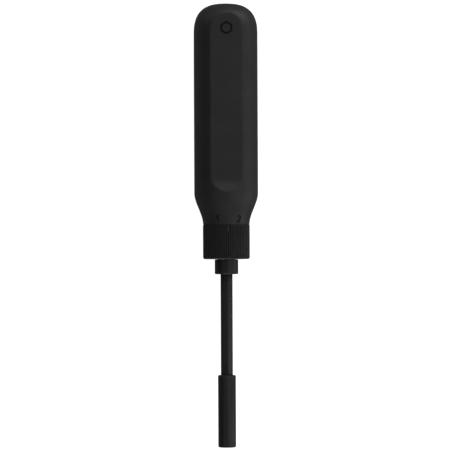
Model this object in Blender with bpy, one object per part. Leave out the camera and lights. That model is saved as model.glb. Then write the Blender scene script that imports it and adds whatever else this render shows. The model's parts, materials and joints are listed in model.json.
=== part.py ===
"""Torque-limiting hand driver: dial ring, threaded spring adjuster, toothed slip clutch, removable hex blade.

Lengths are millimetres. STATION runs along the driver's axis from the open end of the tip sleeve (0) to
the end of the butt. The driver lies along +Y with the front flat of its grip facing +Z.
"""

import math

import bmesh
import bpy

MM = 0.001

# overall
LENGTH = 250.0
AXIS_HEIGHT = 18.0
GAP = 0.3
ROUND_SIDES = 24

# grip
GRIP_FRONT = 125.5
GRIP_RADIUS = 18.0
NOSE_RADIUS = 13.1
NOSE_LENGTH = 18.0
DOME_START = 232.0
DOME_POWER = 2.75
FLAT_OFFSET = 15.55
RAMP_START = 143.7
RAMP_END = 150.2
GRIP_BORE_RADIUS = 11.5
GRIP_BORE_END = 218.9
CORE_RADIUS = 6.0
CORE_END = 236.0
GRIP_FLAT_STEPS = 4
GRIP_SIDE_STEPS = 16

# liner tube
LINER_FRONT = 109.9
LINER_END = 218.6
LINER_RADIUS = 11.2
LINER_FRONT_BORE = 9.7
LINER_BORE = 8.9
LINER_KEY_START = 172.0
LINER_KEY_OFFSET = 10.4
CAM_SEAT_START = 195.6
CAM_SEAT_END = 206.7
CAM_SEAT_OFFSET = 8.1
RETAINER_START = 121.3
RETAINER_END = 122.2

# adjusting thread
LEAD = 4.0
THREAD_MEAN = 8.95
THREAD_DEPTH = 0.35
THREAD_STEPS_PER_LEAD = 6
LINER_THREAD_START = 128.7
LINER_THREAD_TURNS = 3.5
SLEEVE_START = 130.0
SLEEVE_LENGTH = 9.0
SLEEVE_HEX = 13.2

# dial ring
RING_FRONT = 106.1
RING_END = 125.2
RING_RADIUS = 13.2
RIDGES = 66
RIDGE_DEPTH = 0.32
RING_EDGE = 0.5
WEB_END = 108.4
HUB_END = 137.0
HUB_HEX = 12.6

# spindle
SPINDLE_RADIUS = 5.2
COLLAR_FRONT = 97.6
COLLAR_RADIUS = 6.62
DRIVE_HEX = 9.0
DRIVE_START = 185.0
DRIVE_END = 196.9
TAIL_RADIUS = 4.0
TAIL_END = 211.0

# blade and tip sleeve
BLADE_HEX = 6.35
BLADE_START = 15.0
BLADE_END = 120.7
SOCKET_HEX = BLADE_HEX + 2 * GAP
SOCKET_END = 125.0
TIP_SLEEVE_RADIUS = 5.05
TIP_SLEEVE_END = 40.6
HEX_TURN = math.radians(19.6)

# thrust bearing
BALL_COUNT = 6
BALL_RADIUS = 0.95
BALL_CIRCLE = 7.3
BALL_STATION = 141.6

# clutch
CLUTCH_TEETH = 12
TOOTH_HEIGHT = 1.2
TOOTH_ROOT = 197.0

# main spring
SPRING_START = 144.2
SPRING_END = 187.0
SPRING_RADIUS = 6.9
WIRE_RADIUS = 1.1
SPRING_TURNS = 9
SPRING_STEPS = 12


# ---------------------------------------------------------------- sections

def angles_for(count):
    return [2 * math.pi * k / count for k in range(count)]


def circle(station, radius, count=ROUND_SIDES):
    return [(radius * math.cos(a), station, radius * math.sin(a)) for a in angles_for(count)]


def section(station, radius_at, count=ROUND_SIDES):
    """Ring of points whose radius depends on the angle."""
    points = []
    for a in angles_for(count):
        r = radius_at(a)
        points.append((r * math.cos(a), station, r * math.sin(a)))
    return points


def hex_radius(across_flats, angle, turn=0.0):
    """Distance from the axis to a hexagon whose corners stand at turn + 60 degree steps."""
    step = math.pi / 3
    from_corner = (angle - turn) % step
    return across_flats / 2 / math.cos(from_corner - step / 2)


def hexagon(station, across_flats, count=ROUND_SIDES):
    return section(station, lambda a: hex_radius(across_flats, a), count)


def turned(points, turn):
    """Ring turned about the axis, its first point kept near the X axis."""
    c, s = math.cos(turn), math.sin(turn)
    shift = round(turn / (2 * math.pi) * len(points))
    points = points[-shift:] + points[:-shift] if shift else points
    return [(x * c - z * s, y, x * s + z * c) for x, y, z in points]


def two_flats_z(station, radius, offset, count=ROUND_SIDES):
    return section(station, lambda a: min(radius, offset / max(abs(math.sin(a)), 1e-6)), count)


def two_flats_x(station, radius, offset, count=ROUND_SIDES):
    return section(station, lambda a: min(radius, offset / max(abs(math.cos(a)), 1e-6)), count)


# ---------------------------------------------------------------- solids

def bridge(bm, first, second):
    """Faces between two rings of vertices, whatever their counts."""
    n, m = len(first), len(second)
    if n == m:
        for i in range(n):
            j = (i + 1) % n
            bm.faces.new((first[i], first[j], second[j], second[i]))
        return
    i = 0
    j = 0
    while i < n or j < m:
        if m == 1 or (i < n and n > 1 and (i + 1) * m <= (j + 1) * n):
            bm.faces.new((first[i % n], first[(i + 1) % n], second[j % m]))
            i += 1
            if m == 1 and i == n:
                break
        else:
            bm.faces.new((first[i % n], second[(j + 1) % m], second[j % m]))
            j += 1
            if n == 1 and j == m:
                break


def skin(name, rings, look, around=True):
    """One closed solid through the rings in turn; around=True joins the last ring to the first."""
    origin = rings[0][0][1]
    bm = bmesh.new()
    loops = []
    for points in rings:
        loops.append([bm.verts.new((x * MM, (y - origin) * MM, z * MM)) for x, y, z in points])
    for first, second in zip(loops, loops[1:]):
        bridge(bm, first, second)
    if around:
        bridge(bm, loops[-1], loops[0])
    else:
        for loop in (loops[0], loops[-1]):
            if len(loop) > 2:
                bm.faces.new(loop)
    return finish(name, bm, origin, look)


def finish(name, bm, origin, look):
    bmesh.ops.recalc_face_normals(bm, faces=bm.faces)
    mesh = bpy.data.meshes.new(name)
    bm.to_mesh(mesh)
    bm.free()
    mesh.shade_smooth()
    mesh.set_sharp_from_angle(angle=math.radians(28))
    mesh.materials.append(look)
    obj = bpy.data.objects.new(name, mesh)
    obj.location = (0.0, (origin - LENGTH / 2) * MM, AXIS_HEIGHT * MM)
    bpy.context.scene.collection.objects.link(obj)
    return obj


def washer(name, start, end, inner, outer, look, count=ROUND_SIDES):
    rings = [circle(start, inner, count), circle(end, inner, count),
             circle(end, outer, count), circle(start, outer, count)]
    return skin(name, rings, look)


def split_ring(name, start, end, inner, outer, opening_deg, look, steps=20):
    """Flat spring ring with a gap facing -Z."""
    rings = []
    half = math.radians(opening_deg) / 2
    first = -math.pi / 2 + half
    last = 3 * math.pi / 2 - half
    for k in range(steps + 1):
        a = first + (last - first) * k / steps
        c, s = math.cos(a), math.sin(a)
        rings.append([(inner * c, start, inner * s), (outer * c, start, outer * s),
                      (outer * c, end, outer * s), (inner * c, end, inner * s)])
    return skin(name, rings, look, around=False)


def wire_ring(name, station, mean, wire, opening_deg, look, steps=18, sides=6):
    """Round-wire spring ring with a gap facing -Z."""
    rings = []
    half = math.radians(opening_deg) / 2
    first = -math.pi / 2 + half
    last = 3 * math.pi / 2 - half
    for k in range(steps + 1):
        a = first + (last - first) * k / steps
        ring = []
        for b in angles_for(sides):
            r = mean + wire * math.cos(b)
            ring.append((r * math.cos(a), station + wire * math.sin(b), r * math.sin(a)))
        rings.append(ring)
    return skin(name, rings, look, around=False)


def ball(name, centre, radius, look, around=10, rows=6):
    x0, y0, z0 = centre
    rings = [[(x0, y0 - radius, z0)]]
    for k in range(1, rows):
        t = math.pi * k / rows
        r = radius * math.sin(t)
        y = y0 - radius * math.cos(t)
        rings.append([(x0 + r * math.cos(a), y, z0 + r * math.sin(a)) for a in angles_for(around)])
    rings.append([(x0, y0 + radius, z0)])
    return skin(name, rings, look, around=False)


def material(name, colour, roughness, metallic):
    mat = bpy.data.materials.new(name)
    mat.use_nodes = True
    shader = mat.node_tree.nodes["Principled BSDF"]
    shader.inputs["Base Color"].default_value = (*colour, 1.0)
    shader.inputs["Roughness"].default_value = roughness
    shader.inputs["Metallic"].default_value = metallic
    return mat


# ---------------------------------------------------------------- grip

def smoothstep(t):
    t = min(max(t, 0.0), 1.0)
    return t * t * (3 - 2 * t)


def grip_radius(station):
    """Outer radius of the grip: swelling nose, straight barrel, domed butt."""
    if station < DOME_START:
        return NOSE_RADIUS + (GRIP_RADIUS - NOSE_RADIUS) * smoothstep((station - GRIP_FRONT) / NOSE_LENGTH)
    u = min((station - DOME_START) / (LENGTH - DOME_START), 1.0)
    return GRIP_RADIUS * (1 - u ** DOME_POWER) ** (1 / DOME_POWER)


def flat_height(station):
    """Distance of the front and back flats from the axis, with the ramp at their lower end."""
    t = min(max((station - RAMP_START) / (RAMP_END - RAMP_START), 0.0), 1.0)
    return GRIP_RADIUS + (FLAT_OFFSET - GRIP_RADIUS) * t


def grip_section(station):
    """Round section with two opposite flats; its corners follow the edges of the flats."""
    radius = grip_radius(station)
    height = flat_height(station)
    half = math.radians(7)
    if radius > height:
        half = max(half, math.acos(height / radius))
    points = []
    for middle in (math.pi / 2, 3 * math.pi / 2):
        for k in range(GRIP_FLAT_STEPS):
            a = middle - half + 2 * half * k / GRIP_FLAT_STEPS
            r = min(radius, height / abs(math.sin(a)))
            points.append((r * math.cos(a), station, r * math.sin(a)))
        for k in range(GRIP_SIDE_STEPS):
            a = middle + half + (math.pi - 2 * half) * k / GRIP_SIDE_STEPS
            points.append((radius * math.cos(a), station, radius * math.sin(a)))
    return points


def grip_bore(station, start_turn):
    radius = GRIP_BORE_RADIUS
    offset = LINER_KEY_OFFSET + GAP
    plain = circle(station, radius) if start_turn else two_flats_z(station, radius, offset)
    # start the bore's ring where the outer ring starts, so that the end face is evenly divided
    quarter = ROUND_SIDES // 4
    return plain[quarter:] + plain[:quarter]


def make_grip(look):
    nose = [GRIP_FRONT + NOSE_LENGTH * k / 7 for k in range(8)]
    barrel = [RAMP_START, (RAMP_START + RAMP_END) / 2, RAMP_END, 190.0, DOME_START]
    dome = [DOME_START + (LENGTH - DOME_START) * math.sin(math.pi / 2 * k / 10) for k in range(1, 10)]
    rings = [grip_section(s) for s in nose + barrel + dome]
    rings.insert(0, [(x * 0.985, y, z * 0.985) for x, y, z in grip_section(GRIP_FRONT)])
    rings[1] = [(x, y + 0.2, z) for x, y, z in rings[1]]
    rings.append([(0.0, LENGTH, 0.0)])
    quarter = ROUND_SIDES // 4
    core_end = circle(CORE_END, CORE_RADIUS)
    core_start = circle(GRIP_BORE_END, CORE_RADIUS)
    bore = [grip_bore(GRIP_FRONT, True), grip_bore(LINER_KEY_START + GAP, True),
            grip_bore(LINER_KEY_START + GAP, False), grip_bore(GRIP_BORE_END, False),
            core_start[quarter:] + core_start[:quarter], core_end[quarter:] + core_end[:quarter]]
    bore.reverse()
    inner_end = [(0.0, CORE_END, 0.0)]
    # from the bottom of the core, out along the bore, over the front face, back over the outside to the butt
    return skin("grip_shell", [inner_end] + bore + rings, look, around=False)


# ---------------------------------------------------------------- thread

def thread_radius(station, angle, clearance):
    """Rounded thread: turning the sleeve one full turn about +Y carries it one lead towards the butt."""
    phase = station / LEAD + angle / (2 * math.pi)
    return THREAD_MEAN + clearance + THREAD_DEPTH * math.cos(2 * math.pi * phase)


def thread_rings(start, length, clearance):
    count = round(length / LEAD * THREAD_STEPS_PER_LEAD)
    rings = []
    for k in range(count + 1):
        s = start + length * k / count
        rings.append(section(s, lambda a, s=s: thread_radius(s, a, clearance)))
    return rings


def make_liner(look):
    groove = LINER_RADIUS - 0.7
    cam_seat = (LINER_BORE, CAM_SEAT_OFFSET)
    thread_length = LINER_THREAD_TURNS * LEAD
    inner = [circle(LINER_FRONT, LINER_FRONT_BORE), circle(LINER_THREAD_START, LINER_FRONT_BORE)]
    inner += thread_rings(LINER_THREAD_START, thread_length, GAP)
    inner += [circle(LINER_THREAD_START + thread_length, LINER_BORE), circle(CAM_SEAT_START, LINER_BORE),
              two_flats_x(CAM_SEAT_START, *cam_seat), two_flats_x(CAM_SEAT_END, *cam_seat),
              circle(CAM_SEAT_END, LINER_BORE), circle(LINER_END, LINER_BORE)]
    outer = [circle(LINER_FRONT, LINER_RADIUS), circle(RETAINER_START - GAP, LINER_RADIUS),
             circle(RETAINER_START - GAP, groove), circle(RETAINER_END + GAP, groove),
             circle(RETAINER_END + GAP, LINER_RADIUS), circle(LINER_KEY_START, LINER_RADIUS),
             two_flats_z(LINER_KEY_START, LINER_RADIUS, LINER_KEY_OFFSET),
             two_flats_z(LINER_END, LINER_RADIUS, LINER_KEY_OFFSET)]
    outer.reverse()
    return skin("liner_tube", inner + outer, look)


def make_sleeve(look):
    end = SLEEVE_START + SLEEVE_LENGTH
    inner = [hexagon(end, SLEEVE_HEX), hexagon(SLEEVE_START, SLEEVE_HEX)]
    return skin("adjusting_sleeve", thread_rings(SLEEVE_START, SLEEVE_LENGTH, 0.0) + inner, look)


# ---------------------------------------------------------------- dial ring

def ridged(station, inset):
    points = []
    for k, a in enumerate(angles_for(2 * RIDGES)):
        r = RING_RADIUS - inset - (RIDGE_DEPTH if k % 2 else 0.0)
        points.append((r * math.cos(a), station, r * math.sin(a)))
    return points


def make_dial_ring(look):
    groove = GRIP_BORE_RADIUS + 0.6
    rings = [circle(RING_FRONT, SPINDLE_RADIUS + GAP), circle(HUB_END, SPINDLE_RADIUS + GAP),
             hexagon(HUB_END, HUB_HEX), hexagon(WEB_END, HUB_HEX),
             circle(WEB_END, GRIP_BORE_RADIUS), circle(RETAINER_START - GAP, GRIP_BORE_RADIUS),
             circle(RETAINER_START - GAP, groove), circle(RETAINER_END + GAP, groove),
             circle(RETAINER_END + GAP, GRIP_BORE_RADIUS), circle(RING_END, GRIP_BORE_RADIUS),
             ridged(RING_END, 0.3), ridged(RING_END - 0.3, 0.0),
             ridged(RING_FRONT + RING_EDGE, 0.0), ridged(RING_FRONT, RING_EDGE)]
    return skin("dial_ring", rings, look)


def make_wave_washer(look):
    inner, outer, half = 9.9, 11.0, 0.2
    middle = (WEB_END + LINER_FRONT) / 2

    def edge(radius, lift):
        return [(x, middle + lift + 0.22 * math.cos(3 * a), z)
                for a, (x, _, z) in zip(angles_for(ROUND_SIDES), circle(middle, radius))]

    return skin("wave_washer", [edge(inner, -half), edge(outer, -half), edge(outer, half), edge(inner, half)], look)


# ---------------------------------------------------------------- thrust bearing and spring

def make_cage(look):
    count = 48

    def comb(angle):
        step = 2 * math.pi / BALL_COUNT
        off = abs((angle + step / 2) % step - step / 2)
        return 8.3 if off > math.radians(11) else 6.05

    start, end = BALL_STATION - 0.4, BALL_STATION + 0.4
    inner = SPINDLE_RADIUS + GAP
    rings = [circle(start, inner, count), circle(end, inner, count), section(end, comb, count), section(start, comb, count)]
    return skin("thrust_cage", rings, look)


def make_balls(look):
    for k in range(BALL_COUNT):
        a = 2 * math.pi * k / BALL_COUNT
        centre = (BALL_CIRCLE * math.cos(a), BALL_STATION, BALL_CIRCLE * math.sin(a))
        ball(f"thrust_ball_{k + 1}", centre, BALL_RADIUS, look)


def make_spring(look):
    """Compression spring with one closed turn at each end."""
    closed_pitch = 2 * WIRE_RADIUS + GAP
    working = SPRING_END - SPRING_START - 2 * WIRE_RADIUS - 2 * closed_pitch
    open_pitch = working / (SPRING_TURNS - 2)
    rings = []
    for k in range(SPRING_TURNS * SPRING_STEPS + 1):
        turn = k / SPRING_STEPS
        y = SPRING_START + WIRE_RADIUS + closed_pitch * min(turn, 1.0)
        y += open_pitch * min(max(turn - 1, 0.0), SPRING_TURNS - 2)
        y += closed_pitch * max(turn - (SPRING_TURNS - 1), 0.0)
        a = 2 * math.pi * turn
        ring = []
        for b in angles_for(6):
            r = SPRING_RADIUS + WIRE_RADIUS * math.cos(b)
            ring.append((r * math.cos(a), y + WIRE_RADIUS * math.sin(b), r * math.sin(a)))
        rings.append(ring)
    return skin("main_spring", rings, look, around=False)


# ---------------------------------------------------------------- clutch

def tooth(angle):
    """Height of the face teeth, a straight-sided wave."""
    t = (angle * CLUTCH_TEETH / (2 * math.pi)) % 1.0
    return TOOTH_HEIGHT * (1 - abs(2 * t - 1))


def toothed(points, base):
    return [(x, base + tooth(a), z) for a, (x, _, z) in zip(angles_for(len(points)), points)]


def make_sliding_cam(look):
    count = 4 * CLUTCH_TEETH
    front = SPRING_END + GAP
    bore, outside = DRIVE_HEX + 2 * GAP, 7.8
    rings = [hexagon(front, bore, count), toothed(hexagon(front, bore, count), TOOTH_ROOT),
             toothed(circle(front, outside, count), TOOTH_ROOT), circle(front, outside, count)]
    return skin("sliding_cam", rings, look)


def make_fixed_cam(look):
    count = 4 * CLUTCH_TEETH
    back = CAM_SEAT_END
    bore, flats = TAIL_RADIUS + GAP, (LINER_BORE - 0.4, CAM_SEAT_OFFSET - 0.4)
    rings = [circle(back, bore, count), toothed(circle(back, bore, count), TOOTH_ROOT + GAP),
             toothed(two_flats_x(back, *flats, count), TOOTH_ROOT + GAP), two_flats_x(back, *flats, count)]
    return skin("fixed_cam", rings, look)


# ---------------------------------------------------------------- spindle and blade

def socket(station, across=SOCKET_HEX):
    return hexagon(station, across)


def make_spindle(look):
    clip = 5.05
    groove = TAIL_RADIUS - 0.8
    inner = [[(0.0, SOCKET_END, 0.0)], socket(SOCKET_END), socket(101.6), circle(101.6, clip),
             circle(100.2, clip), socket(100.2), socket(COLLAR_FRONT)]
    outer = [circle(COLLAR_FRONT, COLLAR_RADIUS - 0.35), circle(COLLAR_FRONT + 0.35, COLLAR_RADIUS),
             circle(RING_FRONT - GAP, COLLAR_RADIUS), circle(RING_FRONT - GAP, SPINDLE_RADIUS),
             circle(DRIVE_START, SPINDLE_RADIUS), hexagon(DRIVE_START, DRIVE_HEX),
             hexagon(DRIVE_END, DRIVE_HEX), circle(DRIVE_END, TAIL_RADIUS),
             circle(207.2, TAIL_RADIUS), circle(207.2, groove), circle(208.5, groove),
             circle(208.5, TAIL_RADIUS), circle(TAIL_END - 0.5, TAIL_RADIUS), circle(TAIL_END, TAIL_RADIUS - 0.5),
             [(0.0, TAIL_END, 0.0)]]
    return skin("spindle", [turned(r, HEX_TURN) for r in inner] + outer, look, around=False)


def make_blade(look):
    def hexa(station, across):
        return turned(hexagon(station, across, 6), HEX_TURN)

    rings = [hexa(BLADE_START, BLADE_HEX - 1.0), hexa(BLADE_START + 0.5, BLADE_HEX),
             hexa(BLADE_END - 0.5, BLADE_HEX), hexa(BLADE_END, BLADE_HEX - 1.0)]
    return skin("hex_blade", rings, look, around=False)


def make_tip_sleeve(look):
    clip = 4.3
    edge = 0.6
    rings = [socket(0.0), socket(5.6), circle(5.6, clip), circle(6.8, clip), socket(6.8),
             socket(TIP_SLEEVE_END), circle(TIP_SLEEVE_END, TIP_SLEEVE_RADIUS - 0.12),
             circle(TIP_SLEEVE_END - 0.12, TIP_SLEEVE_RADIUS), circle(edge, TIP_SLEEVE_RADIUS),
             circle(0.0, TIP_SLEEVE_RADIUS - edge)]
    return skin("tip_sleeve", [turned(r, HEX_TURN) for r in rings], look)


def disc(name, start, end, radius, look, count=16):
    return skin(name, [circle(start, radius, count), circle(end, radius, count)], look, around=False)


# ---------------------------------------------------------------- the driver

for old in list(bpy.data.objects):
    bpy.data.objects.remove(old)

plastic = material("grip_plastic", (0.021, 0.021, 0.022), 0.55, 0.0)
ring_black = material("ring_black", (0.018, 0.018, 0.019), 0.5, 0.3)
black_oxide = material("black_oxide", (0.022, 0.021, 0.022), 0.32, 0.9)
steel = material("bright_steel", (0.55, 0.55, 0.56), 0.3, 1.0)
spring_steel = material("spring_steel", (0.28, 0.28, 0.3), 0.35, 1.0)
brass = material("brass", (0.72, 0.52, 0.2), 0.35, 1.0)
magnet = material("magnet_nickel", (0.62, 0.6, 0.56), 0.22, 1.0)

make_grip(plastic)
make_liner(steel)
split_ring("ring_retainer", RETAINER_START, RETAINER_END, 10.8, 11.8, 24, spring_steel)
make_fixed_cam(steel)
washer("cam_spacer", CAM_SEAT_END + GAP, 214.9, 6.0, 7.8, steel)
disc("end_disc", 215.2, LINER_END - 0.3, 7.8, steel, ROUND_SIDES)

make_dial_ring(ring_black)
make_wave_washer(spring_steel)

make_sleeve(brass)
washer("thrust_race_front", 139.3, 140.35, 5.6, 8.6, steel)
make_cage(brass)
make_balls(steel)
washer("thrust_race_rear", 142.85, 143.9, 5.6, 8.6, steel)

make_spring(spring_steel)
make_sliding_cam(steel)

make_spindle(black_oxide)
split_ring("tail_circlip", 207.5, 208.2, 3.5, 5.4, 50, spring_steel, 14)
ball("tail_ball", (0.0, 213.1, 0.0), 1.8, steel)
disc("blade_magnet", BLADE_END + GAP, SOCKET_END - GAP, 3.0, magnet)
wire_ring("blade_clip", 100.9, 4.4, 0.4, 40, spring_steel)

make_blade(black_oxide)
make_tip_sleeve(black_oxide)
disc("tip_magnet", 13.0, BLADE_START - GAP, 2.9, magnet)
wire_ring("tip_clip", 6.2, 3.75, 0.4, 40, spring_steel)
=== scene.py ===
import json
import math

import bmesh
import bpy
from mathutils import Matrix, Vector


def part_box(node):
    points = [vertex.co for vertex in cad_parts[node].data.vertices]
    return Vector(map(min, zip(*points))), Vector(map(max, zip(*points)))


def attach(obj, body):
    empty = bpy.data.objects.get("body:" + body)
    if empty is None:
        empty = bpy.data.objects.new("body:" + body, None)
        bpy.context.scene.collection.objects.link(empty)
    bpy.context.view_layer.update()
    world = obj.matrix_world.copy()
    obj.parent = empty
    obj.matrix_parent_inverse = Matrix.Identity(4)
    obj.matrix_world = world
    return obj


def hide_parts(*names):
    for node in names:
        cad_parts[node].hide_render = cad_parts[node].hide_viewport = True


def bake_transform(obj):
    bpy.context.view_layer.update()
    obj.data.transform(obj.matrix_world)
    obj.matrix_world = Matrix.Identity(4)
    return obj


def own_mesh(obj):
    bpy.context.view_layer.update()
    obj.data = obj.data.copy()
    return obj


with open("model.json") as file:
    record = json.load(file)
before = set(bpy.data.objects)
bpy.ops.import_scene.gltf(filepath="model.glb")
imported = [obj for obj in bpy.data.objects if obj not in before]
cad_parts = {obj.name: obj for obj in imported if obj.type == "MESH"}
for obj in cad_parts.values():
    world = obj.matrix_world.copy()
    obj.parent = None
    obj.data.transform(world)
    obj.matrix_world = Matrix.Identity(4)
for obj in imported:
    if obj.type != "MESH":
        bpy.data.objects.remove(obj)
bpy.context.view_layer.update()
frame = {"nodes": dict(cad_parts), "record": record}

MM = 0.001
CLEARANCE = 0.3
# millimetres: corners nearer than this are one corner after a cut
WELD_DISTANCE = 0.0002

# ---------------------------------------------------------------- places, most read from the frame
grip_low, grip_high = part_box("grip_shell")
tip_low, tip_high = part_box("tip_sleeve")
ring_low, ring_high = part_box("dial_ring")
spindle_low, spindle_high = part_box("spindle")
blade_low, blade_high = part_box("hex_blade")
AXIS_Z = (grip_low.z + grip_high.z) / 2
TIP_Y = tip_low.y


def station(y):
    """Millimetres from the tip along the axis."""
    return (y - TIP_Y) / MM


LENGTH = station(grip_high.y)
GRIP_FRONT = station(grip_low.y)
GRIP_RADIUS = (grip_high.x - grip_low.x) / 2 / MM
RING_FRONT = station(ring_low.y)
RING_END = 125.2
RING_RADIUS = (ring_high.x - ring_low.x) / 2 / MM
SLEEVE_END = station(tip_high.y)
SLEEVE_RADIUS = (tip_high.x - tip_low.x) / 2 / MM
COLLAR_FRONT = station(spindle_low.y)
COLLAR_RADIUS = (spindle_high.x - spindle_low.x) / 2 / MM
HEX_TURN = math.radians(19.6)
BLADE_HEX = 6.35
SOCKET_HEX = 6.95
POINTER_TURN = 2.3
DIGIT_ONE_TURN = -22.1
DIGIT_STEP = 360 / 7


def place(points):
    """(x, station, z from the axis) in millimetres to metres in the row frame."""
    return [Vector((x * MM, TIP_Y + s * MM, AXIS_Z + z * MM)) for x, s, z in points]


# ---------------------------------------------------------------- mesh tools

def angles_for(count):
    return [2 * math.pi * k / count for k in range(count)]


def section(s, radius_at, angles):
    points = []
    for a in angles:
        r = radius_at(a) if callable(radius_at) else radius_at
        points.append((r * math.cos(a), s, r * math.sin(a)))
    return points


def skin(name, rings, around=True, sharp=32):
    """One closed mesh through the rings; around=True joins the last ring to the first."""
    bm = bmesh.new()
    loops = [[bm.verts.new(p) for p in place(points)] for points in rings]
    pairs = list(zip(loops, loops[1:]))
    if around:
        pairs.append((loops[-1], loops[0]))
    for first, second in pairs:
        n, m = len(first), len(second)
        if n == m:
            for i in range(n):
                j = (i + 1) % n
                bm.faces.new((first[i], first[j], second[j], second[i]))
        elif m == 1:
            for i in range(n):
                bm.faces.new((first[i], first[(i + 1) % n], second[0]))
        else:
            for i in range(m):
                bm.faces.new((first[0], second[(i + 1) % m], second[i]))
    if not around:
        for loop in (loops[0], loops[-1]):
            if len(loop) > 2:
                bm.faces.new(loop)
    bmesh.ops.recalc_face_normals(bm, faces=bm.faces)
    return from_bmesh(name, bm, sharp)


def from_bmesh(name, bm, sharp=32):
    mesh = bpy.data.meshes.new(name)
    bm.to_mesh(mesh)
    bm.free()
    mesh.shade_smooth()
    mesh.set_sharp_from_angle(angle=math.radians(sharp))
    obj = bpy.data.objects.new(name, mesh)
    bpy.context.scene.collection.objects.link(obj)
    return obj


def cut(obj, cutters, sharp=32):
    """Takes the cutters out of obj, working in millimetres, and removes them."""
    for part in [obj] + cutters:
        part.data.transform(Matrix.Scale(1 / MM, 4))
    for cutter in cutters:
        mod = obj.modifiers.new(cutter.name, "BOOLEAN")
        mod.operation = "DIFFERENCE"
        mod.solver = "EXACT"
        mod.object = cutter
    graph = bpy.context.evaluated_depsgraph_get()
    mesh = bpy.data.meshes.new_from_object(obj.evaluated_get(graph))
    bm = bmesh.new()
    bm.from_mesh(mesh)
    bmesh.ops.remove_doubles(bm, verts=bm.verts, dist=WELD_DISTANCE)
    bm.to_mesh(mesh)
    bm.free()
    mesh.transform(Matrix.Scale(MM, 4))
    obj.modifiers.clear()
    obj.data = mesh
    for cutter in cutters:
        bpy.data.objects.remove(cutter)
    mesh.shade_smooth()
    mesh.set_sharp_from_angle(angle=math.radians(sharp))


def lathe(name, profile, count=96, sharp=32, around=True):
    """Solid of revolution; profile is (station, radius) pairs, and radius 0 is a point on the axis."""
    rings = []
    for s, r in profile:
        rings.append([(0.0, s, 0.0)] if r == 0 else section(s, r, angles_for(count)))
    return skin(name, rings, around, sharp)


# ---------------------------------------------------------------- grip

NOSE_RADIUS = 13.1
NOSE_LENGTH = 18.0
DOME_START = 232.0
DOME_POWER = 2.75
FLAT_OFFSET = 15.55
RAMP_START = 143.7
RAMP_END = 150.2
RAMP_SOFTNESS = 1.0
BORE_RADIUS = 11.5
BORE_END = 218.9
KEY_START = 172.3
KEY_OFFSET = 10.7
CORE_RADIUS = 6.0
CORE_END = 236.0
EDGE_SOFTNESS = 0.3
LIP_ROUND = 0.3


def smoothstep(t):
    t = min(max(t, 0.0), 1.0)
    return t * t * (3 - 2 * t)


def soft_min(a, b, k):
    h = max(k - abs(a - b), 0.0) / k
    return min(a, b) - h * h * k / 4


def soft_max(a, b, k):
    return -soft_min(-a, -b, k)


def grip_radius(s):
    if s < DOME_START:
        return NOSE_RADIUS + (GRIP_RADIUS - NOSE_RADIUS) * smoothstep((s - GRIP_FRONT) / NOSE_LENGTH)
    u = min((s - DOME_START) / (LENGTH - DOME_START), 1.0)
    return GRIP_RADIUS * (1 - u ** DOME_POWER) ** (1 / DOME_POWER)


def flat_height(s):
    ramp = GRIP_RADIUS - (GRIP_RADIUS - FLAT_OFFSET) * (s - RAMP_START) / (RAMP_END - RAMP_START)
    return soft_max(ramp, FLAT_OFFSET, RAMP_SOFTNESS)


def grip_angles(s):
    """Angles of one ring, close together at the edges of the two flats."""
    radius, height = grip_radius(s), flat_height(s)
    edge = 0.0
    if radius > height:
        edge = math.acos(height / radius)
    edge = max(edge, 1.2 / max(radius, 6.0))
    near = [min(d / radius, edge * 0.3) for d in (0.1, 0.25, 0.5, 0.9)]
    quarter = [edge * k / 6 for k in range(5)]
    quarter += [edge - d for d in reversed(near)] + [edge] + [edge + d for d in near]
    start = quarter[-1]
    quarter += [start + (math.pi / 2 - start) * k / 18 for k in range(1, 18)]
    # quarter runs from the middle of a flat to just before the side
    turn = [math.pi / 2 - a for a in reversed(quarter[1:])]
    turn = [0.0] + turn + [math.pi / 2] + [math.pi - a for a in reversed(turn)]
    return turn + [a + math.pi for a in turn]


def grip_ring(s, inset=0.0):
    radius, height = grip_radius(s) - inset, flat_height(s)

    def at(a):
        return soft_min(radius, height / max(abs(math.sin(a)), 1e-6), EDGE_SOFTNESS)

    return section(s, at, grip_angles(s))


def dome_apex():
    """Station where the dome falls below the flats."""
    low, high = DOME_START, LENGTH
    for _ in range(50):
        mid = (low + high) / 2
        if grip_radius(mid) > FLAT_OFFSET:
            low = mid
        else:
            high = mid
    return low


def keyed_bore(a):
    """The bore's rear part has two flats that hold the liner tube from turning."""
    return min(BORE_RADIUS, KEY_OFFSET / max(abs(math.sin(a)), 1e-6))


def make_grip():
    apex = dome_apex()
    barrel_start = RAMP_END + RAMP_SOFTNESS
    stations = [GRIP_FRONT + LIP_ROUND + (NOSE_LENGTH - LIP_ROUND) * k / 30 for k in range(31)]
    stations += [RAMP_START + (barrel_start - RAMP_START) * (k / 16) ** 2 for k in range(17)]
    stations += [barrel_start + (DOME_START - barrel_start) * k / 14 for k in range(1, 14)]
    stations += [apex - (apex - DOME_START) * (1 - k / 22) ** 2 for k in range(23)]
    stations += [apex + (LENGTH - apex) * math.sin(math.pi / 2 * k / 24) for k in range(1, 24)]
    rings = [grip_ring(s) for s in stations]
    angles = grip_angles(GRIP_FRONT)
    lip = [section(GRIP_FRONT, NOSE_RADIUS - 0.25, angles)]
    lip.append(section(GRIP_FRONT + 0.08, NOSE_RADIUS - 0.07, angles))
    bore = [[(0.0, CORE_END, 0.0)],
            section(CORE_END, CORE_RADIUS, angles), section(BORE_END, CORE_RADIUS, angles),
            section(BORE_END, keyed_bore, angles), section(KEY_START, keyed_bore, angles),
            section(KEY_START, BORE_RADIUS, angles), section(GRIP_FRONT, BORE_RADIUS, angles)]
    return skin("grip", bore + lip + rings + [[(0.0, LENGTH, 0.0)]], around=False, sharp=40)


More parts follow.
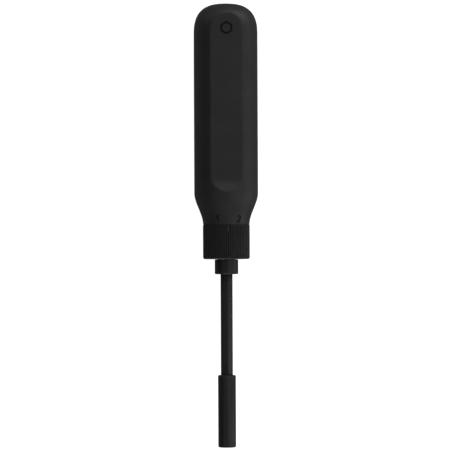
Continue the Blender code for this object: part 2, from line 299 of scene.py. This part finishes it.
def prism_on(name, outline, depth, height, matrix, holes=()):
    """Closed prism over an outline in millimetres on matrix's XY plane; a hole makes it a frame."""
    bm = bmesh.new()
    loops = []
    for z in (-depth, height):
        loops.append([bm.verts.new(matrix @ Vector((x * MM, y * MM, z * MM))) for x, y in outline])
        for hole in holes:
            loops.append([bm.verts.new(matrix @ Vector((x * MM, y * MM, z * MM))) for x, y in hole])
    n = len(outline)
    if holes:
        bottom, bottom_hole, top, top_hole = loops
        pairs = ((bottom, top), (top, top_hole), (top_hole, bottom_hole), (bottom_hole, bottom))
        for first, second in pairs:
            for i in range(n):
                j = (i + 1) % n
                bm.faces.new((first[i], first[j], second[j], second[i]))
    else:
        bottom, top = loops
        for i in range(n):
            j = (i + 1) % n
            bm.faces.new((bottom[i], bottom[j], top[j], top[i]))
        bm.faces.new(bottom)
        bm.faces.new(top)
    bmesh.ops.recalc_face_normals(bm, faces=bm.faces)
    return from_bmesh(name, bm)


def stroke(points, width):
    """Outline of a line of constant width through the points, with square ends."""
    left, right = [], []
    for i, (x, y) in enumerate(points):
        x0, y0 = points[max(i - 1, 0)]
        x1, y1 = points[min(i + 1, len(points) - 1)]
        dx, dy = x1 - x0, y1 - y0
        if 0 < i < len(points) - 1:
            ax, ay = x - x0, y - y0
            bx, by = x1 - x, y1 - y
            la, lb = math.hypot(ax, ay), math.hypot(bx, by)
            dx, dy = ax / la + bx / lb, ay / la + by / lb
            cos_half = math.hypot(dx, dy) / 2
        else:
            cos_half = 1.0
        size = math.hypot(dx, dy)
        nx, ny = -dy / size, dx / size
        reach = width / 2 / max(cos_half, 0.4)
        left.append((x + nx * reach, y + ny * reach))
        right.append((x - nx * reach, y - ny * reach))
    return left + right[::-1]


def arc(cx, cy, rx, ry, start, end, steps):
    points = []
    for k in range(steps + 1):
        a = math.radians(start + (end - start) * k / steps)
        points.append((cx + rx * math.cos(a), cy + ry * math.sin(a)))
    return points


DIGIT_STATION = 128.7
DIGIT_STROKE = 0.8
ENGRAVING_DEPTH = 0.35
EMBLEM_STATION = 235.4
EMBLEM_OUTSIDE = 6.6
EMBLEM_INSIDE = 4.4

# strokes of the scale digits in a box about 2.2 wide and 3.8 high
DIGITS = {
    1: [[(-0.75, 1.05), (0.1, 1.75), (0.1, -1.9)]],
    2: [arc(0.0, 0.85, 0.95, 0.95, 165, -35, 10) + [(-0.95, -1.75), (1.1, -1.75)]],
    3: [arc(0.0, 0.85, 0.85, 0.9, 150, -75, 9), arc(0.0, -0.85, 0.95, 0.95, 78, -150, 10)],
    4: [[(1.1, -0.85), (-1.05, -0.85), (0.45, 1.8)], [(0.45, 1.95), (0.45, -1.9)]],
    5: [[(0.95, 1.7), (-0.75, 1.7), (-0.8, -0.1)], arc(0.0, -0.75, 0.95, 1.0, 140, -150, 11)],
    6: [arc(0.2, -0.6, 1.15, 2.35, 78, 178, 8),
        arc(0.0, -0.8, 0.92, 0.95, 175, 30, 8),
        arc(0.0, -0.8, 0.92, 0.95, -185, 40, 12)],
}


def nose_matrix(turn_deg, s):
    """Plane touching the nose, turned from +Z towards +X; X runs round it and Y to the butt."""
    t = math.radians(turn_deg)
    slope = grip_radius(s + 0.5) - grip_radius(s - 0.5)
    out = Vector((math.sin(t), -slope, math.cos(t))).normalized()
    side = Vector((math.cos(t), 0.0, -math.sin(t)))
    up = out.cross(side)
    r = grip_radius(s)
    spot = place([(r * math.sin(t), s, r * math.cos(t))])[0]
    m = Matrix((side, up, out)).transposed().to_4x4()
    m.translation = spot
    return m


def scale_cutters():
    cutters = []
    for k in range(6):
        m = nose_matrix(DIGIT_ONE_TURN + DIGIT_STEP * k, DIGIT_STATION)
        for i, line in enumerate(DIGITS[k + 1]):
            outline = stroke(line, DIGIT_STROKE)
            cutters.append(prism_on(f"digit_{k + 1}_{i}", outline, ENGRAVING_DEPTH, 1.2, m))
    return cutters


def hexagon_outline(across):
    r = across / 2 / math.cos(math.pi / 6)
    corners = [math.pi / 3 * k + math.pi / 6 for k in range(6)]
    return [(r * math.cos(a), r * math.sin(a)) for a in corners]


def emblem_cutters():
    m = Matrix.Identity(4)
    m.translation = place([(0.0, EMBLEM_STATION, FLAT_OFFSET)])[0]
    outline, hole = hexagon_outline(EMBLEM_OUTSIDE), hexagon_outline(EMBLEM_INSIDE)
    return [prism_on("emblem_hexagon", outline, ENGRAVING_DEPTH, 1.0, m, [hole])]


grip = make_grip()
cut(grip, scale_cutters() + emblem_cutters(), sharp=40)
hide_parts("grip_shell")
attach(grip, "handle")


def hex_radius(across, a, turn, round_r=0.0):
    step = math.pi / 3
    off = (a - turn) % step - step / 2
    r = across / 2 / math.cos(off)
    if round_r:
        corner = across / 2 / math.cos(step / 2)
        r = soft_min(r, corner - round_r, round_r * 1.2)
    return r


# ---------------------------------------------------------------- dial ring

HUB_END = station(ring_high.y)
HUB_HEX = 12.6
WEB_END = 108.4
SHANK_RADIUS = 5.2
RETAINER_GROOVE = 12.1
RIDGES = 66
LIP_HEIGHT = 0.29
LIP_RADIUS = 13.0
RIDGE_DEPTH = 0.45


def ring_section(s, inset, depth, angles):
    def at(a):
        phase = (a * RIDGES / (2 * math.pi)) % 1.0
        valley = abs(2 * phase - 1) ** 2.2
        return RING_RADIUS - inset - depth * valley
    return section(s, at, angles)


def make_ring():
    angles = angles_for(RIDGES * 8)
    retainer_low, retainer_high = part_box("ring_retainer")
    groove_start = station(retainer_low.y) - CLEARANCE
    groove_end = station(retainer_high.y) + CLEARANCE
    shank_hole = SHANK_RADIUS + CLEARANCE

    def hub(a):
        return hex_radius(HUB_HEX, a, 0.0)

    rings = [section(RING_FRONT, shank_hole, angles),
             section(RING_FRONT, RING_RADIUS - 0.75, angles),
             ring_section(RING_FRONT + 0.12, 0.55, 0.1, angles),
             ring_section(RING_FRONT + 0.75, 0.0, RIDGE_DEPTH, angles),
             ring_section(RING_END - 0.2, 0.0, RIDGE_DEPTH, angles),
             ring_section(RING_END - 0.05, 0.1, 0.1, angles), section(RING_END, LIP_RADIUS, angles),
             section(RING_END + LIP_HEIGHT, LIP_RADIUS, angles),
             section(RING_END + LIP_HEIGHT, BORE_RADIUS, angles),
             section(groove_end, BORE_RADIUS, angles), section(groove_end, RETAINER_GROOVE, angles),
             section(groove_start, RETAINER_GROOVE, angles), section(groove_start, BORE_RADIUS, angles),
             section(WEB_END, BORE_RADIUS, angles), section(WEB_END, hub, angles),
             section(HUB_END, hub, angles), section(HUB_END, shank_hole, angles)]
    return skin("ring", rings, sharp=50)


ring = make_ring()
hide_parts("dial_ring")
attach(ring, "dial")


def make_pointer():
    """Triangular pointer moulded flush with the ridges, its point towards the scale."""
    top, bottom, half = RING_END - 0.35, RING_END - 3.3, 1.15
    bm = bmesh.new()
    t0 = math.radians(POINTER_TURN)

    def at(x, s, r):
        a = t0 + x / RING_RADIUS
        return bm.verts.new(place([(r * math.sin(a), s, r * math.cos(a))])[0])

    rows = 8
    faces = []
    for r in (RING_RADIUS - 0.5, RING_RADIUS - 0.02):
        grid = []
        for k in range(rows + 1):
            s = top + (bottom - top) * k / rows
            w = 0.12 + (half - 0.12) * k / rows
            grid.append([at(-w + 2 * w * i / 4, s, r) for i in range(5)])
        faces.append(grid)
    low, high = faces
    for grid in faces:
        for k in range(rows):
            for i in range(4):
                bm.faces.new((grid[k][i], grid[k][i + 1], grid[k + 1][i + 1], grid[k + 1][i]))
    for k in range(rows):
        for i in (0, 4):
            bm.faces.new((low[k][i], low[k + 1][i], high[k + 1][i], high[k][i]))
    for k in (0, rows):
        for i in range(4):
            bm.faces.new((low[k][i], low[k][i + 1], high[k][i + 1], high[k][i]))
    bmesh.ops.recalc_face_normals(bm, faces=bm.faces)
    return from_bmesh("ring_pointer", bm)


pointer = make_pointer()
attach(pointer, "dial")


# ---------------------------------------------------------------- spindle, blade, tip sleeve

def hex_angles(turn):
    """Angles with corners of the hexagon on them, closer together near the corners."""
    angles = []
    for k in range(6):
        base = turn + math.pi / 3 * k
        for t in (0.0, 0.015, 0.03, 0.06, 0.12, 0.3, 0.5, 0.7, 0.88, 0.94, 0.97, 0.985):
            angles.append(base + math.pi / 3 * t)
    return angles


ANGLES = hex_angles(HEX_TURN)


def hex_ring(s, across, round_r=0.0, inset=0.0):
    return section(s, lambda a: hex_radius(across, a, HEX_TURN, round_r) - inset, ANGLES)


def round_ring(s, r):
    return section(s, r, ANGLES)


SOCKET_END = 125.0
BLADE_CLIP_START = 100.2
BLADE_CLIP_END = 101.6
BLADE_CLIP_GROOVE = 5.05
COLLAR_END = RING_FRONT - CLEARANCE
DRIVE_START = 185.0
DRIVE_END = 196.9
DRIVE_HEX = 9.0
TAIL_RADIUS = 4.0
CIRCLIP_START = 207.2
CIRCLIP_END = 208.5
CIRCLIP_GROOVE = 3.2
TAIL_END = station(spindle_high.y)
TIP_CLIP_START = 5.6
TIP_CLIP_END = 6.8
TIP_CLIP_GROOVE = 4.3
TIP_ROUND = 0.75
BLADE_BEVEL = 0.45
CORNER_ROUND = 0.12


def make_spindle():
    turns = hex_angles(0.0)

    def drive(a):
        return hex_radius(DRIVE_HEX, a, 0.0)

    rings = [[(0.0, SOCKET_END, 0.0)], hex_ring(SOCKET_END, SOCKET_HEX)]
    rings += [hex_ring(BLADE_CLIP_END, SOCKET_HEX), round_ring(BLADE_CLIP_END, BLADE_CLIP_GROOVE),
              round_ring(BLADE_CLIP_START, BLADE_CLIP_GROOVE), hex_ring(BLADE_CLIP_START, SOCKET_HEX)]
    rings += [hex_ring(COLLAR_FRONT + 0.35, SOCKET_HEX), hex_ring(COLLAR_FRONT, SOCKET_HEX + 0.5)]
    rings += [round_ring(COLLAR_FRONT, COLLAR_RADIUS - 0.45),
              round_ring(COLLAR_FRONT + 0.1, COLLAR_RADIUS - 0.2),
              round_ring(COLLAR_FRONT + 0.4, COLLAR_RADIUS),
              round_ring(COLLAR_END - 0.12, COLLAR_RADIUS), round_ring(COLLAR_END, COLLAR_RADIUS - 0.12)]
    rings += [section(s, r, turns) for s, r in (
        (COLLAR_END, SHANK_RADIUS), (DRIVE_START, SHANK_RADIUS),
        (DRIVE_START, drive), (DRIVE_END, drive), (DRIVE_END, TAIL_RADIUS),
        (CIRCLIP_START, TAIL_RADIUS), (CIRCLIP_START, CIRCLIP_GROOVE),
        (CIRCLIP_END, CIRCLIP_GROOVE), (CIRCLIP_END, TAIL_RADIUS),
        (TAIL_END - 0.5, TAIL_RADIUS), (TAIL_END, TAIL_RADIUS - 0.5))]
    rings += [[(0.0, TAIL_END, 0.0)]]
    return skin("driver_spindle", rings, around=False)


def make_blade():
    a, b = station(blade_low.y), station(blade_high.y)
    small = BLADE_HEX - 2 * BLADE_BEVEL
    rings = [[(0.0, a, 0.0)], hex_ring(a, small, CORNER_ROUND),
             hex_ring(a + BLADE_BEVEL, BLADE_HEX, CORNER_ROUND),
             hex_ring(b - BLADE_BEVEL, BLADE_HEX, CORNER_ROUND),
             hex_ring(b, small, CORNER_ROUND), [(0.0, b, 0.0)]]
    return skin("blade", rings, around=False, sharp=60)


def make_sleeve():
    r = SLEEVE_RADIUS
    rings = [hex_ring(0.0, SOCKET_HEX + 0.6), hex_ring(0.35, SOCKET_HEX)]
    rings += [hex_ring(TIP_CLIP_START, SOCKET_HEX), round_ring(TIP_CLIP_START, TIP_CLIP_GROOVE),
              round_ring(TIP_CLIP_END, TIP_CLIP_GROOVE), hex_ring(TIP_CLIP_END, SOCKET_HEX)]
    rings += [hex_ring(SLEEVE_END, SOCKET_HEX), round_ring(SLEEVE_END, r - 0.3),
              round_ring(SLEEVE_END - 0.09, r - 0.1), round_ring(SLEEVE_END - 0.28, r)]
    rings += [round_ring(TIP_ROUND * (1 - math.sin(t)), r - TIP_ROUND * (1 - math.cos(t)))
              for t in (0.0, 0.3, 0.6, 0.9, 1.2, 1.4)]
    rings += [round_ring(0.0, r - TIP_ROUND)]
    return skin("bit_sleeve", rings)


spindle = make_spindle()
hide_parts("spindle")
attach(spindle, "drive")
blade = make_blade()
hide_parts("hex_blade")
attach(blade, "blade")
sleeve = make_sleeve()
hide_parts("tip_sleeve")
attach(sleeve, "blade")


# ---------------------------------------------------------------- main spring and bearing

SPRING_TURNS = 9
SPRING_STEPS = 32
WIRE_RADIUS = 1.1
WIRE_SIDES = 12
BALL_CIRCLE = 7.3
RACE_BORE = 5.6
GROOVE_HALF = 0.75
GROOVE_DEPTH = 0.22
BALL_COUNT = 6
coil_low, coil_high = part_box("main_spring")
SPRING_START = station(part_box("thrust_race_rear")[1].y) + CLEARANCE
SPRING_END = station(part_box("sliding_cam")[0].y) - CLEARANCE
SPRING_MEAN = (coil_high.x - coil_low.x) / 2 / MM - WIRE_RADIUS


def make_spring(name, first_turn, last_turn):
    """The wire of the compression spring between two turns; its first and last turns are closed."""
    closed_pitch = 2 * WIRE_RADIUS + CLEARANCE
    working = SPRING_END - SPRING_START - 2 * WIRE_RADIUS - 2 * closed_pitch
    open_pitch = working / (SPRING_TURNS - 2)
    rings = []
    for k in range(round(first_turn * SPRING_STEPS), round(last_turn * SPRING_STEPS) + 1):
        turn = k / SPRING_STEPS
        s = SPRING_START + WIRE_RADIUS + closed_pitch * min(turn, 1.0)
        s += open_pitch * min(max(turn - 1, 0.0), SPRING_TURNS - 2)
        s += closed_pitch * max(turn - (SPRING_TURNS - 1), 0.0)
        a = 2 * math.pi * turn
        ring = []
        for b in angles_for(WIRE_SIDES):
            r = SPRING_MEAN + WIRE_RADIUS * math.cos(b)
            ring.append((r * math.cos(a), s + WIRE_RADIUS * math.sin(b), r * math.sin(a)))
        rings.append(ring)
    return skin(name, rings, around=False, sharp=50)


# the front half is squeezed by the adjuster and the rear half by the clutch jaw; both rest on the middle
spring_front = make_spring("main_spring_front", 0.0, SPRING_TURNS / 2)
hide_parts("main_spring")
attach(spring_front, "drive")
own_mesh(spring_front)
spring_rear = make_spring("main_spring_rear", SPRING_TURNS / 2, SPRING_TURNS)
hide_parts("main_spring")
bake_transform(spring_rear)


def make_ball(node, name):
    low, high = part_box(node)
    bm = bmesh.new()
    centre = Matrix.Translation((low + high) / 2)
    radius = (high.y - low.y) / 2
    bmesh.ops.create_uvsphere(bm, u_segments=32, v_segments=16, radius=radius, matrix=centre)
    return from_bmesh(name, bm, 180)


def make_race(node, name, groove_first):
    """Bearing washer with rounded edges and a shallow ball groove on the side towards the balls."""
    low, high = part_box(node)
    start, end, outer = station(low.y), station(high.y), (high.x - low.x) / 2 / MM
    bevel = 0.15
    plain, grooved = (end, start) if groove_first else (start, end)
    inward = 1 if grooved < plain else -1
    profile = [(plain, RACE_BORE + bevel), (plain - inward * bevel, RACE_BORE)]
    profile += [(grooved + inward * bevel, RACE_BORE), (grooved, RACE_BORE + bevel)]
    for k in range(9):
        t = -1 + k / 4
        profile.append((grooved + inward * GROOVE_DEPTH * (1 - t * t), BALL_CIRCLE + GROOVE_HALF * t))
    profile += [(grooved, outer - bevel), (grooved + inward * bevel, outer)]
    profile += [(plain - inward * bevel, outer), (plain, outer - bevel)]
    return lathe(name, profile)


bearing = [(make_race("thrust_race_front", "race_front", False), "thrust_race_front", "adjuster"),
           (make_race("thrust_race_rear", "race_rear", True), "thrust_race_rear", "adjuster"),
           (make_ball("tail_ball", "end_ball"), "tail_ball", "drive")]
for k in range(BALL_COUNT):
    node = f"thrust_ball_{k + 1}"
    bearing.append((make_ball(node, f"bearing_ball_{k + 1}"), node, "adjuster"))
for obj, node, body in bearing:
    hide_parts(node)
    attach(obj, body)


# ---------------------------------------------------------------- materials

class Nodes:
    """Short names for building a node material."""

    def __init__(self, name):
        self.mat = bpy.data.materials.new(name)
        self.mat.use_nodes = True
        self.tree = self.mat.node_tree
        self.shader = self.tree.nodes["Principled BSDF"]

    def add(self, kind, **values):
        node = self.tree.nodes.new(kind)
        for key, value in values.items():
            if hasattr(node, key):
                setattr(node, key, value)
            else:
                node.inputs[key].default_value = value
        return node

    def link(self, a, b):
        self.tree.links.new(a, b)

    def coords(self, scale=(1.0, 1.0, 1.0)):
        texture = self.add("ShaderNodeTexCoord")
        mapping = self.add("ShaderNodeMapping", Scale=scale)
        self.link(texture.outputs["Object"], mapping.inputs["Vector"])
        return mapping.outputs["Vector"]

    def noise(self, scale, detail=3.0, vector=None, rough=0.5):
        node = self.add("ShaderNodeTexNoise", Scale=scale, Detail=detail, Roughness=rough)
        self.link(vector or self.coords(), node.inputs["Vector"])
        return node.outputs["Fac"]

    def ramp(self, value, low, high, a, b):
        node = self.add("ShaderNodeMapRange")
        for key, number in zip(("From Min", "From Max", "To Min", "To Max"), (low, high, a, b)):
            node.inputs[key].default_value = number
        self.link(value, node.inputs["Value"])
        return node.outputs["Result"]

    def colours(self, value, low, high, dark, light):
        node = self.add("ShaderNodeValToRGB")
        node.color_ramp.elements[0].position = low
        node.color_ramp.elements[1].position = high
        node.color_ramp.elements[0].color = (*dark, 1.0)
        node.color_ramp.elements[1].color = (*light, 1.0)
        self.link(value, node.inputs["Fac"])
        return node.outputs["Color"]

    def bump(self, height, strength, distance, under=None):
        node = self.add("ShaderNodeBump", Strength=strength, Distance=distance)
        self.link(height, node.inputs["Height"])
        if under is not None:
            self.link(under, node.inputs["Normal"])
        return node.outputs["Normal"]

    def use(self, colour=None, rough=None, normal=None, **constants):
        for socket, value in (("Base Color", colour), ("Roughness", rough), ("Normal", normal)):
            if value is not None:
                self.link(value, self.shader.inputs[socket])
        for key, value in constants.items():
            self.shader.inputs[key.replace("_", " ")].default_value = value
        return self.mat


def moulded_plastic(name, level, rough, specular, grain=0.35):
    """Black moulded plastic with a fine spark-eroded surface and faint handling marks."""
    n = Nodes(name)
    cloud = n.noise(60.0, 4.0)
    fine = n.noise(2600.0, 2.0)
    grit = n.add("ShaderNodeTexVoronoi", Scale=3300.0)
    n.link(n.coords(), grit.inputs["Vector"])
    smear = n.noise(35.0, 5.0, n.coords((1.0, 0.25, 1.0)))
    colour = n.colours(cloud, 0.3, 0.7, (level * 0.85,) * 3, (level * 1.15, level * 1.15, level * 1.17))
    roughness = n.ramp(smear, 0.3, 0.7, rough - 0.05, rough + 0.05)
    normal = n.bump(grit.outputs["Distance"], grain, 0.00005, n.bump(fine, grain, 0.00006))
    return n.use(colour, roughness, normal, Specular_IOR_Level=specular)


def ridged_plastic(name, level, rough, specular, low_radius, high_radius):
    """Moulded plastic whose colour goes from dark valleys (painted shade) to lighter ridge tops (painted
    highlight), by distance from the axis.
    """
    n = Nodes(name)
    texture = n.add("ShaderNodeTexCoord")
    flat = n.add("ShaderNodeMapping")
    flat.inputs["Location"].default_value = (0.0, 0.0, -AXIS_Z)
    flat.inputs["Scale"].default_value = (1.0, 0.0, 1.0)
    n.link(texture.outputs["Object"], flat.inputs["Vector"])
    reach = n.add("ShaderNodeVectorMath", operation="LENGTH")
    n.link(flat.outputs["Vector"], reach.inputs[0])
    height = n.ramp(reach.outputs["Value"], low_radius * MM, high_radius * MM, 0.0, 1.0)
    speck = n.noise(1400.0, 3.0)
    ridge_light_mask = n.add("ShaderNodeMath", operation="MULTIPLY")
    n.link(height, ridge_light_mask.inputs[0])
    n.link(n.ramp(speck, 0.3, 0.7, 0.75, 1.1), ridge_light_mask.inputs[1])
    # painted highlight on the ridge tops, painted shade in the valleys
    top = (level * 1.5, level * 1.5, level * 1.52)
    colour = n.colours(ridge_light_mask.outputs["Value"], 0.1, 0.95, (level * 0.25,) * 3, top)
    roughness = n.ramp(ridge_light_mask.outputs["Value"], 0.0, 1.0, rough + 0.15, rough - 0.08)
    normal = n.bump(n.noise(2600.0, 2.0), 0.2, 0.00006)
    return n.use(colour, roughness, normal, Specular_IOR_Level=specular)


def black_oxide(name, level, rough, metallic, lines=(40.0, 4000.0, 40.0)):
    """Oxide-blackened steel with fine turning or grinding lines."""
    n = Nodes(name)
    cloud = n.noise(140.0, 4.0)
    grind = n.noise(1.0, 2.0, n.coords(lines))
    speck = n.noise(1500.0, 3.0)
    dark = (level * 0.8, level * 0.8, level * 0.84)
    light = (level * 1.2, level * 1.18, level * 1.2)
    colour = n.colours(cloud, 0.3, 0.7, dark, light)
    roughness = n.ramp(grind, 0.3, 0.7, rough - 0.06, rough + 0.06)
    normal = n.bump(grind, 0.12, 0.00003, n.bump(speck, 0.08, 0.00003))
    return n.use(colour, roughness, normal, Metallic=metallic, Specular_IOR_Level=0.5)


def bare_metal(name, colour, rough, lines=(60.0, 3000.0, 60.0)):
    """Uncoated metal with grinding lines and faint staining."""
    n = Nodes(name)
    grind = n.noise(1.0, 3.0, n.coords(lines))
    stain = n.noise(180.0, 4.0)
    dark = tuple(c * 0.82 for c in colour)
    mixed = n.colours(stain, 0.3, 0.75, dark, colour)
    roughness = n.ramp(grind, 0.25, 0.75, rough - 0.08, rough + 0.1)
    normal = n.bump(grind, 0.15, 0.00003)
    return n.use(mixed, roughness, normal, Metallic=1.0)


def dress(obj, mat):
    obj.data.materials.clear()
    obj.data.materials.append(mat)


def give_band_look(obj, mat, low, high, least_radius):
    """Gives the faces between two stations, outside a radius, another look."""
    obj.data.materials.append(mat)
    for face in obj.data.polygons:
        x, y, z = face.center
        if low < station(y) < high and math.hypot(x, z - AXIS_Z) > least_radius * MM:
            face.material_index = len(obj.data.materials) - 1


def paint_recess_shade(obj, digit_shade_mat, emblem_shade_mat):
    """Painted shade on the walls and floors of the engraved digits and the emblem: darker, duller looks than
    the grip.
    """
    obj.data.materials.append(digit_shade_mat)
    obj.data.materials.append(emblem_shade_mat)
    for face in obj.data.polygons:
        x, y, z = face.center
        s = station(y)
        out = math.hypot(x, z - AXIS_Z) / MM
        depth = FLAT_OFFSET - (z - AXIS_Z) / MM
        in_digit = s < DIGIT_STATION + 3.0 and BORE_RADIUS + 0.5 < out < grip_radius(s) - 0.08
        in_emblem = math.hypot(x / MM, s - EMBLEM_STATION) < 4.5 and 0.08 < depth < 0.5
        if in_digit and s > GRIP_FRONT + 0.5:
            face.material_index = 1
        if in_emblem:
            face.material_index = 2


LOOKS = {
    "grip_plastic": moulded_plastic("grip_plastic_look", 0.022, 0.5, 0.5),
    "ring_black": ridged_plastic("ring_look", 0.013, 0.45, 0.35, RING_RADIUS - RIDGE_DEPTH, RING_RADIUS),
    "pointer": moulded_plastic("pointer_look", 0.02, 0.5, 0.5, 0.2),
    "black_oxide": black_oxide("black_oxide_look", 0.013, 0.45, 0.0),
    "blade": black_oxide("blade_look", 0.013, 0.5, 0.0, (2500.0, 30.0, 2500.0)),
    # the next two looks are lighter than their parts: painted highlights for chamfers
    "ring_highlight": moulded_plastic("ring_highlight_look", 0.035, 0.4, 0.6, 0.2),
    "oxide_highlight": black_oxide("oxide_highlight_look", 0.05, 0.4, 0.0),
    # the next two looks are painted shade for the engraved emblem and digits; engraving_look also dulls the
    # ring's rear lip
    "engraving": moulded_plastic("engraving_look", 0.012, 0.6, 0.15, 0.2),
    "digit_shade": moulded_plastic("digit_shade_look", 0.012, 0.6, 0.2, 0.2),
    "steel": bare_metal("steel_look", (0.55, 0.55, 0.56), 0.3),
    "spring_steel": bare_metal("spring_steel_look", (0.26, 0.26, 0.28), 0.34, (1500.0, 1500.0, 1500.0)),
    "brass": bare_metal("brass_look", (0.7, 0.5, 0.2), 0.34),
    "magnet": bare_metal("magnet_look", (0.62, 0.6, 0.56), 0.22, (900.0, 900.0, 900.0)),
}

dress(grip, LOOKS["grip_plastic"])
dress(ring, LOOKS["ring_black"])
dress(pointer, LOOKS["pointer"])
dress(spindle, LOOKS["black_oxide"])
dress(blade, LOOKS["blade"])
dress(sleeve, LOOKS["black_oxide"])
for half in (spring_front, spring_rear):
    dress(half, LOOKS["spring_steel"])
for obj, _, _ in bearing:
    dress(obj, LOOKS["steel"])
# painted shade in the engraved digits and emblem
paint_recess_shade(grip, LOOKS["digit_shade"], LOOKS["engraving"])
# the next three lines: painted highlights on the front chamfers of the ring and the collar and on the
# sleeve's rear chamfer
give_band_look(ring, LOOKS["ring_highlight"], RING_FRONT - 0.01, RING_FRONT + 0.7, RING_RADIUS - 0.8)
give_band_look(spindle, LOOKS["oxide_highlight"], COLLAR_FRONT - 0.01, COLLAR_FRONT + 0.35, COLLAR_RADIUS - 0.5)
give_band_look(sleeve, LOOKS["oxide_highlight"], SLEEVE_END - 0.27, SLEEVE_END + 0.01, SLEEVE_RADIUS - 0.35)
give_band_look(ring, LOOKS["engraving"], RING_END - 0.02, RING_END + 0.3, BORE_RADIUS)
slots = {part["node"]: part["material_slot"] for part in frame["record"]["subparts"]}
for name, obj in frame["nodes"].items():
    for material_slot in obj.material_slots:
        material_slot.material = LOOKS[slots[name]]


# ---------------------------------------------------------------- stage, lights, camera

def plane(name, half_x, half_y, z):
    bm = bmesh.new()
    corners = ((-half_x, -half_y), (half_x, -half_y), (half_x, half_y), (-half_x, half_y))
    bm.faces.new([bm.verts.new((x, y, z)) for x, y in corners])
    mesh = bpy.data.meshes.new(name)
    bm.to_mesh(mesh)
    bm.free()
    obj = bpy.data.objects.new(name, mesh)
    bpy.context.scene.collection.objects.link(obj)
    return obj


FLOOR_BOUNCE = 0.4
FLOOR_GLOW = 0.9
FLOOR_LEVEL = grip_low.z - 0.0005
floor = plane("floor", 3.0, 3.0, FLOOR_LEVEL)


def floor_material():
    """Pale sweep: bright as the camera sees it, dimmer as a source of bounced light."""
    n = Nodes("floor_look")
    n.use(Roughness=0.9, Base_Color=(0.9, 0.9, 0.9, 1.0), Specular_IOR_Level=0.1)
    path = n.add("ShaderNodeLightPath")
    dim = n.add("ShaderNodeBsdfDiffuse", Color=(FLOOR_BOUNCE, FLOOR_BOUNCE, FLOOR_BOUNCE, 1.0))
    glow = n.add("ShaderNodeEmission", Strength=FLOOR_GLOW)
    bright = n.add("ShaderNodeAddShader")
    mix = n.add("ShaderNodeMixShader")
    out = n.tree.nodes["Material Output"]
    n.link(n.shader.outputs["BSDF"], bright.inputs[0])
    n.link(glow.outputs["Emission"], bright.inputs[1])
    n.link(path.outputs["Is Camera Ray"], mix.inputs["Fac"])
    n.link(dim.outputs["BSDF"], mix.inputs[1])
    n.link(bright.outputs["Shader"], mix.inputs[2])
    n.link(mix.outputs["Shader"], out.inputs["Surface"])
    return n.mat


floor.data.materials.append(floor_material())


def panel(name, turn_deg, along, distance, width, length, power):
    """Soft panel facing the driver's axis, turned from straight above towards +X, offset along Y."""
    t = math.radians(turn_deg)
    spot = Vector((distance * math.sin(t), along, AXIS_Z + distance * math.cos(t)))
    data = bpy.data.lights.new(name, "AREA")
    data.shape = "RECTANGLE"
    data.size = width
    data.size_y = length
    data.energy = power
    obj = bpy.data.objects.new(name, data)
    obj.matrix_world = Matrix.Translation(spot) @ Matrix.Rotation(t, 4, "Y")
    obj.visible_camera = False
    bpy.context.scene.collection.objects.link(obj)
    return obj


def end_panel(name, x, y, height, width, length, power):
    """Soft panel beyond one end of the driver, facing its middle."""
    spot = Vector((x, y, height))
    data = bpy.data.lights.new(name, "AREA")
    data.shape = "RECTANGLE"
    data.size = width
    data.size_y = length
    data.energy = power
    obj = bpy.data.objects.new(name, data)
    obj.location = spot
    obj.rotation_mode = "QUATERNION"
    obj.rotation_quaternion = (target_point - spot).to_track_quat("-Z", "Y")
    obj.visible_camera = False
    bpy.context.scene.collection.objects.link(obj)
    return obj


target_point = Vector((0.0, 0.0, AXIS_Z))
# name, turn, offset along the driver, width, power
SIDE_PANELS = (
    ("left_30_low", -30, -0.35, 0.4, 0.45),
    ("left_30_high", -30, 0.35, 0.4, 0.29),
    ("right_14_low", 14, -0.35, 0.4, 0.28),
    ("right_14_high", 14, 0.35, 0.4, 0.4),
    ("right_30_low", 30, -0.35, 0.4, 0.22),
    ("right_30_high", 30, 0.35, 0.4, 0.48),
    ("right_45_low", 45, -0.35, 0.4, 0.93),
    ("right_86_low", 86, -0.35, 0.16, 1.25),
    ("right_86_high", 86, 0.35, 0.16, 0.17),
)
# name, place, power
END_PANELS = (
    ("butt_middle", (0.0, 0.9, 0.7), 1.35),
    ("butt_low", (0.0, 1.0, 0.15), 0.35),
    ("butt_left_low", (-0.7, 0.7, 0.2), 0.42),
    ("butt_right_low", (0.7, 0.7, 0.2), 1.6),
    ("butt_right_mid", (0.45, 0.9, 0.3), 0.9),
    ("tip_high", (0.0, -0.9, 0.7), 0.2),
    ("tip_low", (0.0, -1.0, 0.15), 2.64),
)
for name, turn_deg, along, width, power in SIDE_PANELS:
    panel(name, turn_deg, along, 1.0, width, 0.7, power)
for name, spot, power in END_PANELS:
    end_panel(name, *spot, 0.6, 0.35, power)

world = bpy.data.worlds.new("studio")
world.use_nodes = True
world.node_tree.nodes["Background"].inputs["Color"].default_value = (1.0, 1.0, 1.0, 1.0)
world.node_tree.nodes["Background"].inputs["Strength"].default_value = 0.03
bpy.context.scene.world = world
bpy.context.scene.view_settings.view_transform = "Standard"

VIEW_SPAN = 0.2549
LENS = 200.0
SENSOR = 36.0
VIEW_TURN = math.radians(-1.7)
VIEW_ROLL = math.radians(-0.235)
VIEW_SHIFT = -0.00018
VIEW_ALONG = -0.00026
camera_data = bpy.data.cameras.new("camera")
camera_data.lens = LENS
camera_data.sensor_width = SENSOR
camera = bpy.data.objects.new("camera", camera_data)
target = Vector((VIEW_SHIFT, (grip_high.y + tip_low.y) / 2 + VIEW_ALONG, AXIS_Z))
distance = VIEW_SPAN / SENSOR * LENS
around = Matrix.Rotation(VIEW_TURN, 4, "Y")
back = Matrix.Translation((0.0, 0.0, distance))
camera.matrix_world = Matrix.Translation(target) @ around @ back @ Matrix.Rotation(VIEW_ROLL, 4, "Z")
camera_data.clip_start = 0.01
camera_data.clip_end = 20.0
bpy.context.scene.collection.objects.link(camera)
bpy.context.scene.camera = camera
